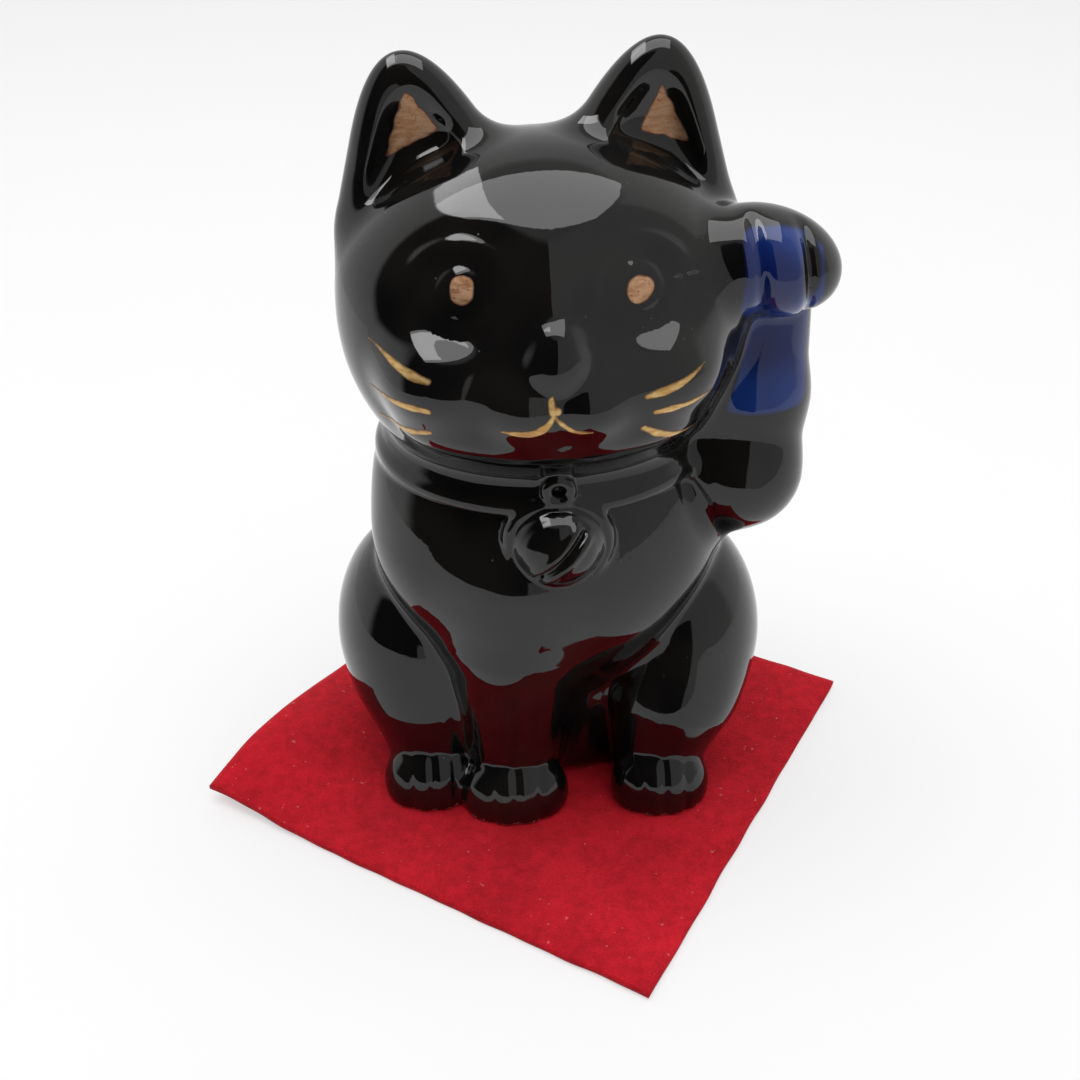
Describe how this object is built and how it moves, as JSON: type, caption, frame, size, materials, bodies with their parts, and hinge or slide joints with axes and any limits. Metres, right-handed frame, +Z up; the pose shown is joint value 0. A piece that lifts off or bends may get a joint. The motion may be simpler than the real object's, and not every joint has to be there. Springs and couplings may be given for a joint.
{
  "type": "beckoning cat figurine",
  "caption": "Hollow glazed ceramic sitting cat with its left paw raised, wearing a collar and bell, standing loose on a square felt mat.",
  "frame": {"origin": "centre of the felt mat's underside, on the surface that it lies on", "axes": "+Z up through the figurine; the cat faces -Y; its raised left paw is on +X"},
  "size_m": [0.1366, 0.1356, 0.1424],
  "materials": {
    "black_glaze": "glossy black glaze over pale clay",
    "blue_glaze": "glossy cobalt blue overglaze",
    "gold_lustre": "hand-painted overglaze gold, slightly uneven",
    "red_felt": "soft matte felt"
  },
  "bodies": {
    "mat": {"felt_mat": "red_felt"},
    "figurine": {"body_casting": "black_glaze", "head_casting": "black_glaze", "raised_arm": "black_glaze", "tail": "black_glaze", "collar": "black_glaze", "bell": "black_glaze", "eye_gold_left": "gold_lustre", "eye_gold_right": "gold_lustre", "ear_gold_left": "gold_lustre", "ear_gold_right": "gold_lustre", "whiskers_gold_left": "gold_lustre", "whiskers_gold_right": "gold_lustre", "mouth_gold": "gold_lustre", "paw_blue": "blue_glaze", "forearm_blue": "blue_glaze"}
  },
  "joints": [
    {"name": "figurine_lift", "type": "slide", "parent": "mat", "child": "figurine", "axis": [0, 0, 1], "range_m": [0, 0.2]}
  ]
}
